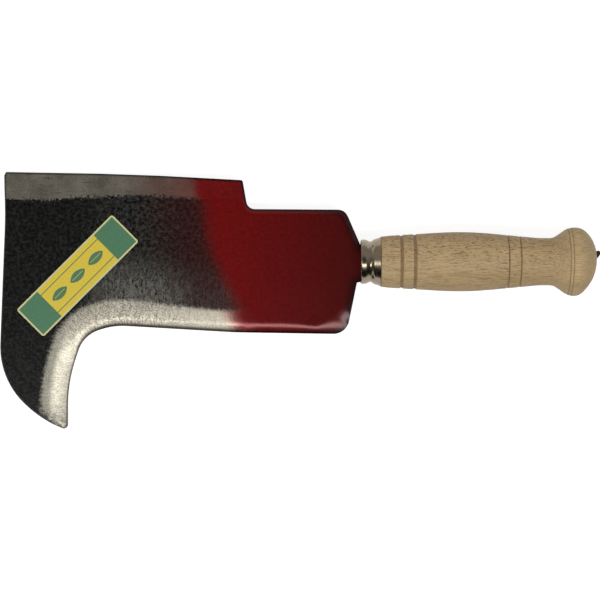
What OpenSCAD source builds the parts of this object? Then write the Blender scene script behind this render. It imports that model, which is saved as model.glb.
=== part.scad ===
// Double-edged billhook: a forged blade whose tang runs right through a turned
// beech handle and is clenched over at the pommel, a drawn ferrule at the
// handle's mouth, and a paper label on one side of the blade.
// Millimetres. The origin is the centre of the ferrule's mouth, where the tang
// goes in. +X runs along the handle to the pommel, +Y to the straight back
// edge, and +Z is up from the labelled side of the blade.

/* [Blade] */
// Length from the ferrule's mouth to the foremost point of the hook's back
blade_len = 228.5; // [215:0.5:250]
// Thickness at the heel, beside the ferrule
heel_t = 5; // [4.5:0.1:6]
// Thickness at the nose
nose_t = 4; // [3.4:0.1:4.5]
// Height of the nose's top corner above the handle's axis
nose_top = 57; // [50:0.5:66]
// How far the nose's top corner stands back from the foremost point
nose_lean = 2.6; // [0:0.1:6]
// How far the nose's slight hollow stands back from the foremost point
nose_dip = 3.2; // [2.6:0.1:5]
// Height of that hollow above the axis
nose_dip_top = 30; // [20:0.5:38]
// Radius of that hollow
nose_dip_r = 400; // [200:10:500]

/* [Heel] */
// Distance from the ferrule's mouth to the step in the back
step_x = 74.8; // [60:0.2:90]
// Height of the back edge at the step
step_top = 51.8; // [44:0.2:60]
// Lean of the step's face
step_lean = 3; // [0:0.1:6]
// Height of the heel's upper side above the axis
heel_top = 33; // [26:0.5:40]
// Rise of the heel's upper side towards the step
heel_rise = 0.6; // [0:0.1:2]
// Drop of the heel's lower side below the axis
heel_drop = 45.6; // [40:0.2:52]
// Setback of the heel's corners from the ferrule's mouth
heel_setback = 9.8; // [6:0.2:14]
// Radius of the heel's upper corner
heel_top_r = 7; // [4:0.5:9]
// Radius of the heel's lower corner
heel_low_r = 5; // [4:0.5:8]
// Radius at the foot of the step
step_r = 5; // [2:0.5:7]
// Radius at the head of the step
step_head_r = 1.5; // [0.8:0.1:2.5]
// Height of the shoulder on the ferrule, above the axis
shoulder_up = 10.5; // [7:0.5:12]
// Drop of the shoulder on the ferrule, below the axis
shoulder_down = 13; // [8:0.5:13.5]
// Length of the neck under the shoulder
shoulder_neck = 2.2; // [0.5:0.1:4]
// Width of the rounding round the heel
heel_round_w = 3.4; // [1:0.2:3.6]
// Depth of the rounding round the heel
heel_round_d = 1; // [0.4:0.1:1.4]

/* [Hook] */
// Drop of the hook's tip below the axis
hook_drop = 107.4; // [95:0.2:118]
// Distance from the foremost point back to the hook's inner side
hook_w = 42.8; // [36:0.2:50]
// Radius of the hook's throat
throat_r = 30; // [20:0.5:34]
// Slant of the hook's inner side between throat and tip
throat_lean = 12.6; // [6:0.2:16]
// Drop of the throat's corner below the axis
throat_drop = 39.2; // [34:0.2:43]
// Length of the straight point, from the tip up
point_len = 31.2; // [26:0.1:36]
// Radius that eases the throat into the straight point
point_ease_r = 95; // [50:1:100]
// Height of the hook's upper bend above the tip
bend_rise = 35.1; // [28:0.1:40]
// Radius of the upper bend
back_bend_r = 50; // [35:1:56]
// Height of the hook's lower bend above the tip
ease_rise = 9.7; // [7:0.1:13]
// Distance from the foremost point back to the lower bend
ease_back = 23.1; // [19:0.1:27]
// Radius of the lower bend
back_ease_r = 74; // [40:1:84]
// Radius of the tip
tip_r = 2; // [1:0.1:2.4]

/* [Ground edges] */
// Width of the hook edge's bevel
bevel_w = 16.5; // [12:0.5:18]
// Width of its fine bevel, along the cutting edge
fine_bevel_w = 4.2; // [2:0.1:6]
// Half thickness where the two bevels meet
fine_bevel_z = 0.85; // [0.6:0.05:1]
// Half thickness left at the cutting edges
edge_z = 0.2; // [0.1:0.05:0.4]
// Distance from the ferrule's mouth to the end of the hook edge's grinding
grind_end_x = 80; // [74:0.5:100]
// Drop of the hook edge there, below the axis
grind_end_drop = 44.6; // [40:0.2:50]
// Radius of the grindstone's run-out, at the edge
runout_r = 8; // [4:0.5:16]
// Width of the back edge's bevel
back_bevel_w = 14; // [9:0.5:16]

/* [Tang] */
// Width of the tang at the shoulder
tang_root_w = 10.4; // [8:0.2:12]
// Width of the tang at the pommel
tang_end_w = 4.6; // [3.5:0.1:6]
// Thickness of the tang at the pommel
tang_end_t = 4; // [3:0.1:4.4]
// Height of the tang's straight upper side above the axis
tang_top = 5.8; // [4.6:0.1:6.4]
// Length of the clenched end
clench_len = 6.2; // [4:0.1:9]
// Depth under the crown from which the end is clenched
clench_sink = 0.4; // [0.2:0.1:1]
// Chamfer at the clenched end
clench_chamfer = 0.5; // [0.2:0.1:0.8]
// Thickness of the clenched end, hammered flat
clench_t = 3; // [2:0.1:3.6]
// Angle through which the end is clenched
clench_angle = 57; // [40:1:66]
// Clearance of the tang in its burnt hole
tang_fit = 0.15; // [0.05:0.05:0.4]

/* [Ferrule] */
// Length of the ferrule
ferrule_len = 12.8; // [10.5:0.1:18]
// Radius of the mouth's rim
mouth_r = 13.9; // [13.2:0.1:14.3]
// Rounding of the mouth's rim
mouth_round = 0.8; // [0.4:0.1:1.4]
// Distance from the mouth to the bead
bead_x = 2.7; // [2:0.1:3.2]
// Radius of the bead, at its corner
bead_r = 14.4; // [13.8:0.1:15]
// Rounding of the bead
bead_round = 5; // [2:0.5:5]
// Distance from the mouth to the crimped neck
crimp_x = 6.4; // [5.6:0.1:7]
// Radius of the crimped neck, at its corner
crimp_r = 12.7; // [12:0.1:13.2]
// Rounding of the crimped neck
crimp_round = 1.2; // [0.6:0.1:1.6]
// Distance from the mouth to the skirt's front
skirt_x = 8.4; // [8:0.1:9]
// Radius of the skirt's front
skirt_front_r = 14.2; // [13.8:0.1:14.6]
// Rounding of the skirt's front
skirt_round = 4; // [2:0.5:5]
// Radius of the skirt's rear rim
skirt_r = 15.7; // [14.8:0.1:16.4]
// Thickness of the sheet metal
ferrule_wall = 0.8; // [0.5:0.1:1]
// Clearance between the ferrule and the wood inside it
ferrule_fit = 0.1; // [0.05:0.05:0.3]

/* [Handle] */
// Length from the ferrule's mouth to the pommel's crown
handle_len = 149.6; // [140:0.2:165]
// Radius where the wood comes out flush with the ferrule
front_r = 15.9; // [15.4:0.1:16.8]
// Length of the lead behind the ferrule
lead_len = 5; // [3:0.5:8]
// Radius at the end of the lead
lead_r = 16.5; // [16:0.1:17.2]
// Rounding of the lead
lead_round = 20; // [10:1:30]
// Radius of the belly, at its corner
belly_r = 19.45; // [17.8:0.05:20.6]
// Distance from the mouth to the belly
belly_x = 66; // [56:0.5:74]
// Radius of the belly's bow
belly_round = 220; // [120:10:260]
// Radius of the waist, before the pommel
waist_r = 15; // [13.6:0.1:16]
// Distance from the crown back to the start of the waist
waist_back = 36.5; // [34:0.5:44]
// Radius of the waist's bow
waist_round = 60; // [30:5:90]
// Distance from the crown back to the pommel's root
root_back = 27.3; // [25:0.1:30]
// Radius of the hollow at the pommel's root
root_round = 8; // [4:0.5:9]
// Radius of the pommel
pommel_r = 21.75; // [20:0.05:24]
// Length of the pommel's flare
flare_len = 9.7; // [8:0.1:12]
// Rounding of the flare into the pommel
flare_round = 11; // [6:0.5:12]
// Rounding of the pommel into the crown
crown_round = 8.4; // [5:0.2:9]
// Radius of the crown's dome
dome_r = 27.3; // [22:0.1:28]
// Distance from the mouth to the first scored ring
front_ring_x = 26.2; // [22:0.2:30]
// Pitch of the front pair of rings
front_pitch = 8.4; // [5:0.2:12]
// Distance from the crown back to the rear pair of rings
rear_ring_back = 48.5; // [45:0.5:54]
// Pitch of the rear pair of rings
rear_pitch = 7.7; // [4:0.1:10]
// Distance from the crown back to the ring on the pommel
pommel_ring_back = 17.6; // [17:0.1:18.4]
// Width of each front ring
front_ring_w = 2.2; // [1.2:0.1:3]
// Width of each rear ring
rear_ring_w = 1; // [0.6:0.1:1.6]
// Depth of every scored ring
ring_depth = 0.5; // [0.3:0.1:0.8]

/* [Label] */
// Length of the label
label_len = 85.6; // [70:0.2:92]
// Width of the label
label_w = 24.1; // [18:0.1:26]
// Thickness of the label
label_t = 0.15; // [0.1:0.05:0.3]
// Radius of the label's corners
label_r = 1.6; // [0.5:0.1:3]
// Distance from the blade's foremost point back to the label's middle
label_back = 49.2; // [45:0.2:56]
// Drop of the label's middle below the axis
label_drop = 8.9; // [4:0.2:10]
// Angle of the label across the blade
label_angle = 45; // [40:1:50]
// Film of glue under the label
glue_t = 0.02; // [0.01:0.01:0.05]

/* [Hidden] */
$fn = 96;
steel = "#2b2b2e";
nickel = "#b9b7b0";
beech = "#b99d74";
paper = "#d8c53c";
// How far a cutter or a rough block runs past what it trims
over = 10;
// Width of the rough blocks that are trimmed on every side
rough = 2 * (blade_len + handle_len);
// How far a cutter laps the next one
lap = 2;
// Largest gap between a turned corner's arc and the chords it is made of
chord_gap = 0.06;
// Share of a straight side that the roundings at its ends may take up
side_share = 0.98;

// Geometry of an outline whose corners are [x, y, radius], listed anticlockwise
function at(o, i) = o[(i + len(o)) % len(o)];
function corner(o, i) = [at(o, i)[0], at(o, i)[1]];
function unit(v) = v / norm(v);
function left(v) = [-v[1], v[0]];
function heading(v) = atan2(v[1], v[0]);
function into(o, i) = unit(corner(o, i) - corner(o, i - 1));
function out_of(o, i) = unit(corner(o, i + 1) - corner(o, i));
function turn(o, i) = atan2(left(into(o, i)) * out_of(o, i), into(o, i) * out_of(o, i));
function tangent(o, i) = at(o, i)[2] * tan(abs(turn(o, i)) / 2);
// Share of their radii that two neighbouring corners have room for
function side(o, i) = norm(corner(o, i + 1) - corner(o, i));
function taken(o, i) = tangent(o, i) + tangent(o, i + 1);
function room(o, i) = taken(o, i) > side_share * side(o, i) ? side_share * side(o, i) / taken(o, i) : 1;
function fitted(o, i) = min(room(o, i - 1), room(o, i));
function arc_r(o, i) = fitted(o, i) * at(o, i)[2];
function arc_start(o, i) = corner(o, i) - fitted(o, i) * tangent(o, i) * into(o, i);
function arc_end(o, i) = corner(o, i) + fitted(o, i) * tangent(o, i) * out_of(o, i);
function arc_centre(o, i) = arc_start(o, i) + sign(turn(o, i)) * arc_r(o, i) * left(into(o, i));
// Chords of a rounded corner, and the points of a run of corners with square ends
function spin(v, angle) = norm(v) * [cos(heading(v) + angle), sin(heading(v) + angle)];
function chords(o, i) = ceil(abs(turn(o, i)) / (2 * acos(1 - chord_gap / at(o, i)[2])));
function corner_points(o, i) = at(o, i)[2] == 0 ? [corner(o, i)] : [
    for (k = [0:chords(o, i)])
        arc_centre(o, i) + spin(arc_start(o, i) - arc_centre(o, i), turn(o, i) * k / chords(o, i))
];
function run(o) = [for (i = [0:len(o) - 1]) each corner_points(o, i)];

// A flat outline with true arcs at its corners. Each arc is nudged towards its
// corner, so that it crosses the straight sides at a slight angle.
nudge = 0.03;
module rounded(o) {
    difference() {
        union() {
            polygon([for (i = [0:len(o) - 1]) corner(o, i)]);
            for (i = [0:len(o) - 1]) if (at(o, i)[2] > 0 && turn(o, i) < 0) corner_web(o, i);
        }
        for (i = [0:len(o) - 1]) if (at(o, i)[2] > 0 && turn(o, i) > 0) corner_web(o, i);
    }
}

// What lies between a corner and its arc: added in a hollow, trimmed off a bulge
module corner_web(o, i) {
    c = arc_centre(o, i);
    difference() {
        polygon([
            arc_end(o, i),
            arc_end(o, i) + unit(arc_end(o, i) - c),
            corner(o, i) + lap * unit(corner(o, i) - c),
            arc_start(o, i) + unit(arc_start(o, i) - c),
            arc_start(o, i),
        ]);
        translate(c + nudge * unit(corner(o, i) - c)) circle(r = arc_r(o, i));
    }
}

// Blade. Corners of its outline, from the shoulder over the back to the hook
hook_x = hook_w - blade_len;
blade_outline = [
    [0, -shoulder_down, 0],
    [0, shoulder_up, 0],
    [-heel_setback, heel_top, heel_top_r],
    [step_lean - step_x, heel_top + heel_rise, step_r],
    [-step_x, step_top, step_head_r],
    [nose_lean - blade_len, nose_top, 0],
    [nose_dip - blade_len, nose_dip_top, nose_dip_r],
    [-blade_len, bend_rise - hook_drop, back_bend_r],
    [ease_back - blade_len, ease_rise - hook_drop, back_ease_r],
    [hook_x, -hook_drop, tip_r],
    [hook_x, point_len - hook_drop, point_ease_r],
    [hook_x + throat_lean, -throat_drop, throat_r],
    [-grind_end_x, -grind_end_drop, 0],
    [-heel_setback, -heel_drop, heel_low_r],
    [-shoulder_neck, -shoulder_down, 0],
];
CORNERS = [
    "low shoulder", "shoulder", "heel top", "step foot", "step head", "nose", "nose dip", "back bend",
    "back ease", "tip", "point ease", "throat", "grind end", "heel low", "neck",
];
function named(name) = search([name], CORNERS)[0];

// Half thickness of the plate at a distance from the ferrule's mouth
plate_slope = (heel_t - nose_t) / 2 / blade_len;
taper_angle = atan(plate_slope);
function plate_z(x) = heel_t / 2 - plate_slope * x;

// Ground slopes on the upper side, as [half thickness at the edge, climb per mm]
mid_z = (heel_t + nose_t) / 4;
fine_slope = [edge_z, (fine_bevel_z - edge_z) / fine_bevel_w];
bevel_climb = (mid_z - fine_bevel_z) / (bevel_w - fine_bevel_w);
bevel_slope = [fine_bevel_z - bevel_climb * fine_bevel_w, bevel_climb];
back_slope = [edge_z, (mid_z - edge_z) / back_bevel_w];
heel_slope = [heel_t / 2 - heel_round_d, heel_round_d / heel_round_w];
function slope_d(slope, z) = (z - slope[0]) / slope[1];
// The stone bites a little deeper in the hollows, which blends the slopes there
bite = 0.03;
function deeper(slope, bites = 1) = [slope[0] - bites * bite, slope[1]];
// Cutters stand between these heights, the upper one clear of the plate by a gap
floor_z = 0.05;
clear_gap = 0.2;
clear_z = heel_t / 2 + clear_gap;

// What a stone takes off along a straight side, in a hollow and round a bulge
module grind_side(from, to, slope, past_from = 0, past_to = 0) {
    way = unit(to - from);
    translate(from - past_from * way) rotate(heading(way)) rotate([90, 0, 90])
        linear_extrude(norm(to - from) + past_from + past_to) polygon([
            [-over, floor_z],
            [slope_d(slope, floor_z), floor_z],
            [slope_d(slope, clear_z), clear_z],
            [-over, clear_z],
        ]);
}

module grind_hollow(centre, r, slope) {
    translate([centre[0], centre[1], floor_z]) cylinder(
        h = clear_z - floor_z,
        r1 = r + slope_d(slope, floor_z),
        r2 = r + slope_d(slope, clear_z)
    );
}

module grind_bulge(o, i, slope) {
    translate(arc_centre(o, i)) rotate(heading(arc_start(o, i) - arc_centre(o, i)))
        rotate_extrude(angle = turn(o, i)) polygon([
            [arc_r(o, i) - slope_d(slope, clear_z), clear_z],
            [arc_r(o, i) + lap, slope[0] - lap * slope[1]],
            [arc_r(o, i) + lap, clear_z],
        ]);
}

// The hook's edge, from beyond the tip round the throat to the stone's run-out.
// The eased hollow is kept to its own sector, with a lap in degrees at the tip.
sector_lap = 8;
module grind_hook(slope) {
    o = blade_outline;
    ease = named("point ease");
    throat = named("throat");
    end = named("grind end");
    eased = arc_centre(o, ease);
    grind_side(arc_end(o, named("tip")), arc_start(o, ease), slope, past_from = over);
    intersection() {
        grind_hollow(eased, arc_r(o, ease), deeper(slope));
        linear_extrude(heel_t) polygon([
            eased,
            eased + 2 * spin(arc_start(o, ease) - eased, sector_lap),
            eased + 2 * (arc_end(o, ease) - eased),
        ]);
    }
    grind_hollow(arc_centre(o, throat), arc_r(o, throat), deeper(slope, 2));
    grind_side(arc_end(o, throat), corner(o, end), slope);
    grind_hollow(corner(o, end) - runout_r * left(into(o, end)), runout_r, deeper(slope));
}

// The heel's rounding, below and above the ferrule
module grind_heel_low() {
    o = blade_outline;
    low = named("heel low");
    slope = heel_slope;
    grind_side(corner(o, named("grind end")), arc_start(o, low), deeper(slope), past_to = lap);
    grind_bulge(o, low, slope);
    grind_side(arc_end(o, low), corner(o, named("neck")), deeper(slope), past_from = lap);
}

module grind_heel_top() {
    o = blade_outline;
    top = named("heel top");
    foot = named("step foot");
    slope = heel_slope;
    grind_side(corner(o, named("shoulder")), arc_start(o, top), deeper(slope), past_to = lap);
    grind_bulge(o, top, slope);
    grind_side(arc_end(o, top), arc_start(o, foot), deeper(slope), past_from = lap);
    grind_hollow(arc_centre(o, foot), arc_r(o, foot), deeper(slope, 2));
    grind_side(arc_end(o, foot), corner(o, named("step head")), deeper(slope), past_to = lap);
}

module grind_back() {
    o = blade_outline;
    grind_side(corner(o, named("step head")), corner(o, named("nose")), back_slope, over, over);
}

module both_sides() {
    children();
    mirror([0, 0, 1]) children();
}

module blade() {
    color(steel) {
        plate();
        tang();
    }
}

// The plate as forged, then with its bevels ground, then fined and rounded
module forged() {
    far = blade_len + over;
    intersection() {
        linear_extrude(2 * heel_t, center = true) rounded(blade_outline);
        rotate([90, 0, 0]) linear_extrude(rough, center = true) polygon([
            [0, -plate_z(0)],
            [0, plate_z(0)],
            [-far, plate_z(far)],
            [-far, -plate_z(far)],
        ]);
    }
}

module bevelled() {
    difference() {
        forged();
        both_sides() grind_hook(bevel_slope);
        both_sides() grind_back();
    }
}

module fined() {
    difference() {
        bevelled();
        both_sides() grind_hook(fine_slope);
    }
}

module plate() {
    difference() {
        fined();
        both_sides() grind_heel_low();
        both_sides() grind_heel_top();
    }
}

// Tang: straight along its top, drawn to a taper below, with a clenched end.
// A fit greater than 0 gives the hole that it burns in the wood.
module tang(fit = 0) {
    far = handle_len + over;
    intersection() {
        linear_extrude(2 * heel_t, center = true) {
            tang_bar(fit);
            clench();
        }
        rotate([90, 0, 0]) linear_extrude(rough, center = true) polygon([
            [-fit, -heel_t / 2 - fit],
            [far, -tang_end_t / 2 - fit],
            [far, tang_end_t / 2 + fit],
            [-fit, heel_t / 2 + fit],
        ]);
    }
}

tang_exit_x = handle_len - clench_sink;
module tang_bar(fit) {
    polygon([
        [-fit, tang_top - tang_root_w - fit],
        [tang_exit_x, tang_top - tang_end_w - fit],
        [tang_exit_x, tang_top + fit],
        [-fit, tang_top + fit],
    ]);
}

module clench() {
    c = clench_chamfer;
    translate([tang_exit_x, tang_top - tang_end_w]) rotate(clench_angle) polygon([
        [0, 0],
        [clench_len - c, 0],
        [clench_len, c],
        [clench_len, clench_t - c],
        [clench_len - c, clench_t],
        [0, clench_t],
    ]);
}

// Ferrule. Corners of its outer side along the axis, as [x, radius, rounding],
// set in by some depth; its front plate closes the mouth round the tang
function ferrule_side(in) = [
    [in, 0, 0],
    [in, mouth_r - in, mouth_round],
    [bead_x, bead_r - in, bead_round],
    [crimp_x, crimp_r - in, crimp_round],
    [skirt_x, skirt_front_r - in, skirt_round],
    [ferrule_len, skirt_r - in, 0],
];
function turned(points) = [for (p = points) [p[1], p[0]]];
function reversed(list) = [for (i = [len(list) - 1:-1:0]) list[i]];

module ferrule() {
    outside = run(ferrule_side(0));
    inside = run(ferrule_side(ferrule_wall));
    color(nickel) difference() {
        rotate([0, 90, 0]) rotate_extrude() polygon(turned(concat(outside, reversed(inside))));
        tang(tang_fit);
    }
}

// Handle. The wood fills the ferrule, swells to a belly and ends in a pommel,
// whose crown slopes at 45 degrees from the pommel to the dome's corner
wood_in = ferrule_wall + ferrule_fit;
wood_front = ferrule_len + ferrule_fit;
dome_edge = dome_r * tan(45 / 2);
wood_side = [
    [wood_front, skirt_r - wood_in, 0],
    [wood_front, front_r, 0],
    [wood_front + lead_len, lead_r, lead_round],
    [belly_x, belly_r, belly_round],
    [handle_len - waist_back, waist_r, waist_round],
    [handle_len - root_back, waist_r, root_round],
    [handle_len - root_back + flare_len, pommel_r, flare_round],
    [handle_len - pommel_r + dome_edge, pommel_r, crown_round],
    [handle_len, dome_edge, dome_r],
    [handle_len, 0, 0],
];
wood_points = run(wood_side);

module handle() {
    rear_x = handle_len - rear_ring_back;
    color(beech) difference() {
        rotate([0, 90, 0]) rotate_extrude()
            polygon(turned(concat(run(ferrule_side(wood_in)), wood_points)));
        for (x = [front_ring_x, front_ring_x + front_pitch]) ring(x, front_ring_w);
        for (x = [rear_x - rear_pitch, rear_x]) ring(x, rear_ring_w);
        ring(handle_len - pommel_ring_back, rear_ring_w);
        tang(tang_fit);
    }
}

// A ring scored round the wood at a distance from the mouth. Its floor is half
// as wide as the ring, and its sides run on past the wood at the same slope.
module ring(x, width) {
    wood_r = lookup(x, wood_points);
    floor_w = width / 2;
    past = 3;
    top_w = width + past * (width - floor_w);
    rotate([0, 90, 0]) rotate_extrude() polygon([
        [wood_r - ring_depth, x - floor_w / 2],
        [wood_r - ring_depth, x + floor_w / 2],
        [wood_r + past * ring_depth, x + top_w / 2],
        [wood_r + past * ring_depth, x - top_w / 2],
    ]);
}

// Label: stuck flat on the blade's upper side, which tapers to the nose
label_x = blade_len - label_back;
module label() {
    half_l = label_len / 2;
    half_w = label_w / 2;
    color(paper) translate([-label_x, -label_drop, plate_z(label_x) + glue_t])
        rotate([0, -taper_angle, 0]) rotate(label_angle) linear_extrude(label_t) rounded([
            [half_l, half_w, label_r],
            [-half_l, half_w, label_r],
            [-half_l, -half_w, label_r],
            [half_l, -half_w, label_r],
        ]);
}

blade();
ferrule();
handle();
label();
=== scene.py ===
import math

import bpy
import numpy as np
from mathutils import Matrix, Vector


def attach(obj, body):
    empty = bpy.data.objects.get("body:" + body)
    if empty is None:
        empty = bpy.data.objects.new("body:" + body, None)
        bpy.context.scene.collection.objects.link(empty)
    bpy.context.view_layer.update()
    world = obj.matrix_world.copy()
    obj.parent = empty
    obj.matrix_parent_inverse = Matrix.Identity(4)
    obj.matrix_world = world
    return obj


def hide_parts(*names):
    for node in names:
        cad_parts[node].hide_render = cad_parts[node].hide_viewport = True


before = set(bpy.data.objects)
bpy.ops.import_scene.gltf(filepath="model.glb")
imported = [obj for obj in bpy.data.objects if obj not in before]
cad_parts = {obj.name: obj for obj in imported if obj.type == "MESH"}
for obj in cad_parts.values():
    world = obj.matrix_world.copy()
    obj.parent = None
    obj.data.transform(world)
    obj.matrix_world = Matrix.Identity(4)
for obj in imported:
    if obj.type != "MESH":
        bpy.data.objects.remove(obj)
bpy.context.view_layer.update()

mm = 0.001
even = {"interpolation_type": "LINEAR"}        # for a range that runs straight
smooth = {"interpolation_type": "SMOOTHSTEP"}  # for a range that eases in and out
colours = {"data_type": "RGBA", "out": 2}      # for a mix of two colours, its inputs 6 and 7


def linear(hexCode):
    # sRGB hex to linear RGBA: the gamma curve undone channel by channel
    c = np.array([int(hexCode[i:i + 2], 16) for i in (1, 3, 5)]) / 255
    return (*np.where(c <= 0.04045, c / 12.92, ((c + 0.055) / 1.055) ** 2.4), 1.0)


def roundedLine(corners, closed, gap=0.25):
    # each corner [x, y, r] becomes an arc that touches both its sides; r = 0 stays sharp
    corners = np.array(corners, float)
    points = []
    for i, (x, y, r) in enumerate(corners):
        here = np.array([x, y])
        if r <= 0 or (not closed and i in (0, len(corners) - 1)):
            points.append(here[None])
            continue
        a = corners[i - 1, :2] - here
        b = corners[(i + 1) % len(corners), :2] - here
        a, b = a / np.linalg.norm(a), b / np.linalg.norm(b)
        half = math.acos(np.clip(a @ b, -1, 1)) / 2
        middle = (a + b) / np.linalg.norm(a + b)
        centre = here + middle * r / math.sin(half)
        start, end = here + a * r / math.tan(half), here + b * r / math.tan(half)
        share = np.linspace(0, 1, 3 + int(r * (math.pi - 2 * half) / gap))[:, None]
        chord = (start - centre) * (1 - share) + (end - centre) * share
        points.append(centre + r * chord / np.linalg.norm(chord, axis=1)[:, None])
    return np.concatenate(points)


def lengthAlong(line):
    # running length at each point of a line: the sum of the steps before it
    return np.concatenate([[0], np.cumsum(np.linalg.norm(np.diff(line, axis=0), axis=1))])


def resample(line, at):
    # points of a line at the given running lengths, straight between its own points
    s = lengthAlong(line)
    return np.stack([np.interp(at, s, line[:, k]) for k in range(line.shape[1])], 1)


def heading(line, at, reach):
    # the way a line runs: the chord from reach before each place to reach after it
    end = lengthAlong(line)[-1]
    return resample(line, np.minimum(at + reach, end)) - resample(line, np.maximum(at - reach, 0))


def graded(total, spacing):
    # stations from 0 to total whose step at each place is spacing(place)
    s = np.linspace(0, total, 4000)
    count = np.concatenate([[0], np.cumsum(np.diff(s) / spacing((s[1:] + s[:-1]) / 2))])
    return np.interp(np.linspace(0, count[-1], int(count[-1]) + 2), count, s)


def distanceTo(line, points, batch=3000):
    # shortest way from each point to a line of segments, one batch of points at a time
    a, b = line[:-1], line[1:]
    d = b - a
    lengthSq = np.maximum((d * d).sum(1), 1e-12)
    out = np.empty(len(points))
    for i in range(0, len(points), batch):
        p = points[i:i + batch, None, :] - a
        t = np.clip((p * d).sum(2) / lengthSq, 0, 1)
        out[i:i + batch] = np.sqrt((((p - t[..., None] * d) ** 2).sum(2)).min(1))
    return out


def flatCross(a, b):
    # cross product of flat vectors: the area that they span
    return a[..., 0] * b[..., 1] - a[..., 1] * b[..., 0]


def smoothMin(a, b, k):
    # the lower of two heights, with the ridge between them eased over about k
    return -k * np.logaddexp(-a / k, -b / k)


def ramp(x, low, high):
    # 0 up to low, 1 from high on, and 3 t squared less 2 t cubed between
    t = np.clip((x - low) / (high - low), 0, 1)
    return t * t * (3 - 2 * t)


def blend(a, b, share):
    # straight from a to b by share
    return a + (b - a) * share


def squaredOff(turn, power):
    # radius of a circle squared off by a power: 1 on the flats, more at the corners
    return (np.abs(np.cos(turn)) ** power + np.abs(np.sin(turn)) ** power) ** (-1 / power)


def gridFaces(rows, columns, wrapRows, wrapColumns):
    # four corners of every cell of a grid, joined up at the wrapped sides
    i = np.arange(rows if wrapRows else rows - 1)[:, None]
    j = np.arange(columns if wrapColumns else columns - 1)[None, :]
    i1, j1 = (i + 1) % rows, (j + 1) % columns
    corners = [i * columns + j, i * columns + j1, i1 * columns + j1, i1 * columns + j]
    return np.stack([np.broadcast_to(c, (i.shape[0], j.shape[1])) for c in corners], -1).reshape(-1, 4)


def shellFaces(rows, columns):
    # a flat shell whose rows go out along the upper side and back along the lower, capped at both ends
    k = np.arange(columns - 1)
    cap = np.stack([k, 2 * columns - 1 - k, 2 * columns - 2 - k, k + 1], 1)
    return np.concatenate([
        gridFaces(rows, 2 * columns, False, True), cap, (cap + (rows - 1) * 2 * columns)[:, ::-1]])


def outAndBack(upper, lower=None):
    # rows of such a shell: the upper side, then the lower one in reverse, or the upper one again
    return np.concatenate([upper, (upper if lower is None else lower)[:, ::-1]], 1)


def addPiece(name, verts, faces, node=None, sharp=40, values=None, uv=None):
    # verts in mm, only those that a face uses; faces are turned so that the shell's volume is positive
    used, faces = np.unique(faces, return_inverse=True)
    faces = faces.reshape(-1, 4)
    verts = verts.reshape(-1, 3)[used] * mm
    a, b, c, d = (verts[faces[:, k]] for k in range(4))
    volume = (a * np.cross(b, c)).sum() + (a * np.cross(c, d)).sum()
    if volume < 0:
        faces = faces[:, ::-1]
    # a face with a doubled corner, at a pole, is a triangle
    doubled = faces == np.roll(faces, -1, 1)
    pole = doubled.any(1)
    triangles = faces[pole][~doubled[pole]].reshape(-1, 3)
    mesh = bpy.data.meshes.new(name)
    mesh.from_pydata(verts.tolist(), [], faces[~pole].tolist() + triangles.tolist())
    mesh.shade_smooth()
    mesh.set_sharp_from_angle(angle=math.radians(sharp))
    for key, value in (values or {}).items():
        spread = mesh.attributes.new(key, "FLOAT", "POINT")
        spread.data.foreach_set("value", value.ravel()[used].astype(np.float32))
    if uv is not None:
        corner = np.empty(len(mesh.loops), np.int32)
        mesh.loops.foreach_get("vertex_index", corner)
        surfaceMap = mesh.uv_layers.new(name="surfaceMap")
        surfaceMap.data.foreach_set("uv", (uv.reshape(-1, 2)[used][corner] * mm).ravel())
    piece = bpy.data.objects.new(name, mesh)
    bpy.context.scene.collection.objects.link(piece)
    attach(piece, "root")
    if node:
        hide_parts(node)
    print("piece", name, len(mesh.vertices), "points", len(mesh.polygons), "faces")
    return piece


def addNode(tree, kind, inputs=None, out=0, **settings):
    # one node; an input is a value or another node's output; gives back the output named by out, or all
    node = tree.nodes.new(kind)
    for key, value in settings.items():
        setattr(node, key, value)
    for key, value in (inputs or {}).items():
        if isinstance(value, bpy.types.NodeSocket):
            tree.links.new(value, node.inputs[key])
        else:
            node.inputs[key].default_value = value
    return node.outputs if out is None else node.outputs[out]


def newMaterial(name):
    # an empty node material and its tree
    material = bpy.data.materials.new(name)
    material.use_nodes = True
    material.node_tree.nodes.clear()
    return material, material.node_tree


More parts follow.
